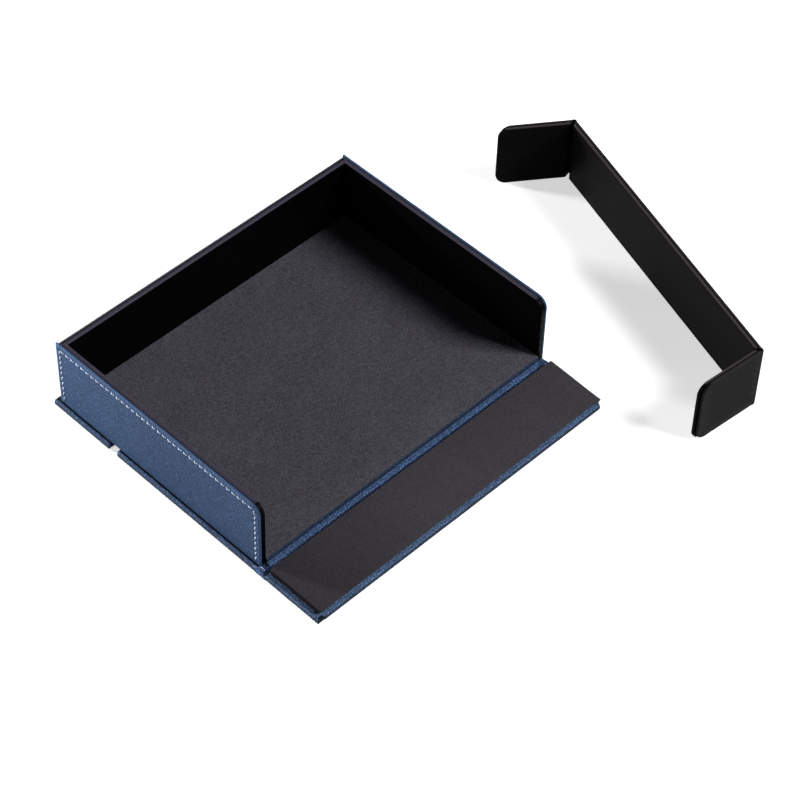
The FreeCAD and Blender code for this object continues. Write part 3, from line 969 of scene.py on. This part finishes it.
# Magnet bars.
# Nickel-plated bars sunk in the side walls and in the flap, which hold the flap shut. They
# have fine draw lines along their length.
nickel, tree, shader = named_material("drawn_nickel")
place = add_node(tree, "ShaderNodeTexCoord").outputs["Object"]
lines = add_node(tree, "ShaderNodeMapping", {"Vector": place, "Scale": (1, 0.05, 0.05)})
drawn = add_node(tree, "ShaderNodeTexNoise", {"Vector": lines.outputs[0], "Scale": 6000,
                                              "Detail": 2.0})
rough = add_node(tree, "ShaderNodeMapRange", {"Value": drawn.outputs["Fac"], "To Min": 0.22,
                                              "To Max": 0.4})
bump = add_node(tree, "ShaderNodeBump", {"Height": drawn.outputs["Fac"], "Distance": 0.000006})
ramp = add_node(tree, "ShaderNodeMix", {0: drawn.outputs["Fac"], 6: (0.58, 0.58, 0.6, 1),
                                        7: (0.66, 0.66, 0.67, 1)}, data_type="RGBA")
tree.links.new(ramp.outputs[2], shader.inputs["Base Color"])
tree.links.new(rough.outputs[0], shader.inputs["Roughness"])
tree.links.new(bump.outputs[0], shader.inputs["Normal"])
shader.inputs["Metallic"].default_value = 1.0
dress_node("wall_magnets", nickel)
dress_node("flap_magnets", nickel)


# Flap lining.
# A thick board covered with short brushed microfibre, which plugs the open front of the tray
# when the flap is shut. Its corners are crisp and its edges barely rounded.
lining_colour = (0.0420, 0.0382, 0.0448)
edge_reach = 0.0015
front_lean = 0.0014
corner_reach, corner_pull = 0.004, 0.001
hinge_clearance = 0.0005
low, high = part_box("flap_lining_skin")
# Painted shade on the lining: its left end face is painted dark, and its top darker towards the left
# end.
microfibre = felted("brushed_microfibre", lining_colour, roughness=0.95, speck=0.2,
                    bump_depth=0.00004, shades=((low.x + 0.0002, low.x + 0.00005, 0.3),
                                                (low.x + 0.045, low.x + 0.003, 0.72)))
lining = outer_copy("flap_lining_skin", "flap_lining_covering")
cut_across(lining, (1, 0, 0), steps(low.x, high.x, cut_pace))
cut_across(lining, (0, 1, 0), steps(low.y, high.y, cut_pace))
cut_across(lining, (0, 0, 1), steps(low.z, high.z, cut_pace / 2))
slightly_uneven(lining, spread=0.012, height=0.0001)
board = outer_copy("flap_lining_board", "flap_lining_inner_board")

# The front edge leans out towards the top, the back edge stands clear of the hinge, and the
# covering is pulled out a little at its front right corner.
for piece in (lining, board):
    trim_right_end(piece)
    for vertex in piece.data.vertices:
        up = (vertex.co.z - low.z) / (high.z - low.z)
        if vertex.co.y < low.y + edge_reach:
            vertex.co.y -= front_lean * up
            if piece == lining:
                towards_corner = (vertex.co.x - high.x + corner_reach) / corner_reach
                vertex.co.y -= corner_pull * max(0.0, towards_corner)
        elif vertex.co.y > high.y - edge_reach:
            vertex.co.y -= hinge_clearance
finish_piece(lining, microfibre, "front_flap", ["flap_lining_skin"])
finish_piece(board, grey_board, "front_flap", ["flap_lining_board"])


# Loose folding wall.
# Three panels, each of two thin boards wrapped in black leatherette and glued back to back.
# The outer leatherette runs on round the corners, so both wings fold.
# The inner layers are a darker, less shiny copy of the outer layers' black, as painted shade on the
# faces that look inwards.
outer_black, shaded_inner_black = (0.0068, 0.0062, 0.0064), (0.0034, 0.0028, 0.0030)
fine_grain = 0.00045
panel_pace = 0.0022
# Painted highlights on the tops of the layers, stronger on the inner ones.
outer_top, inner_top = ("Z", 0.03475, 0.0349, 3.5), ("Z", 0.03465, 0.0348, 13)
satin = {"outer": leatherette("satin_black_leatherette", outer_black, fine_grain, depth=0.00002,
                              roughness=0.45, contrast=0.15, shine=0.03, shades=(outer_top,),
                              painted=True),
         "inner": leatherette("black_leatherette_painted_darker", shaded_inner_black, fine_grain, depth=0.00002,
                              roughness=0.45, contrast=0.15, shine=0.014, shades=(inner_top,),
                              painted=True)}
# Painted shade and highlight by the groove: the outer layer darker beside it, the inner layer paler
# beside it and a little darker on its face.
beside_groove = {"outer": (0.7, 1.0), "inner": (1.45, 0.85)}
long_way, rear_way, front_way = -107.5, 144.1, 175.0
panels = {"insert_long": ("folding_wall", long_way),
          "insert_rear_wing": ("wall_rear_wing", rear_way),
          "insert_front_wing": ("wall_front_wing", front_way)}


def heading(degrees):
    """A level direction, in degrees from +X towards +Y."""
    return Vector((math.cos(math.radians(degrees)), math.sin(math.radians(degrees)), 0))


for panel, (body, way) in panels.items():
    along = heading(way)
    across = Vector((-along.y, along.x, 0))
    covers = {layer: outer_copy(panel + "_" + layer + "_skin", panel + "_" + layer + "_covering")
              for layer in ("outer", "inner")}
    reach = [v.co.dot(across) for cover in covers.values() for v in cover.data.vertices]
    glued = (min(reach) + max(reach)) / 2
    for layer, cover in covers.items():
        node = panel + "_" + layer + "_skin"
        low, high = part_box(node)
        reach = [v.co.dot(along) for v in cover.data.vertices]
        cut_across(cover, along, steps(min(reach), max(reach), panel_pace))
        cut_across(cover, (0, 0, 1), steps(low.z, high.z, panel_pace))
        offsets = [v.co.dot(across) - glued for v in cover.data.vertices]
        towards = 1 if sum(offsets) > 0 else -1
        cut_across(cover, across, [glued + towards * gap for gap in groove_cuts])
        paint_tone(cover, lambda place: in_groove(abs(place.dot(across) - glued),
                                                  *beside_groove[layer]))
        slightly_uneven(cover, spread=0.012, height=0.00008)
        finish_piece(cover, satin[layer], body, [node])
        dress_node(panel + "_" + layer + "_board", grey_board)


# The outer leatherette over each fold: along the long panel's end, round, and on to the wing.
# Each fold has the way along the panel and the way out of it, for both of its panels.
fold_arc_steps = 10
lap = 0.0014
fold_thickness = 0.00024
blend_reach = 0.0004
for node, wing, long_run, long_out, wing_run, wing_out in (
        ("insert_rear_fold", "wall_rear_wing", long_way, long_way + 90, rear_way, rear_way - 90),
        ("insert_front_fold", "wall_front_wing", long_way + 180, long_way + 90, front_way,
         front_way - 270)):
    low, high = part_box(node)
    axis = Vector(((low.x + high.x) / 2, (low.y + high.y) / 2, low.z))
    radius = (high.x - low.x) / 2 - 0.0001
    path = [axis + heading(long_run) * lap + heading(long_out) * radius]
    for i in range(fold_arc_steps + 1):
        path.append(axis + heading(long_out + (wing_out - long_out) * i / fold_arc_steps) * radius)
    path.append(axis + heading(wing_run) * lap + heading(wing_out) * radius)
    fold = first_edge(node + "_covering", path[0], path[0] + Vector((0, 0, high.z - low.z)))
    draw_out(fold, path)
    cut_across(fold, (0, 0, 1), steps(low.z, high.z, panel_pace))
    thicken(fold, thickness=fold_thickness, offset=0)
    paint_tone(fold, lambda place: 1.0)
    finish_piece(fold, satin["outer"], None, [node])
    tuple(axis + heading(long_run) * blend_reach)
    tuple(axis + heading(wing_run) * blend_reach)
    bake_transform(fold)
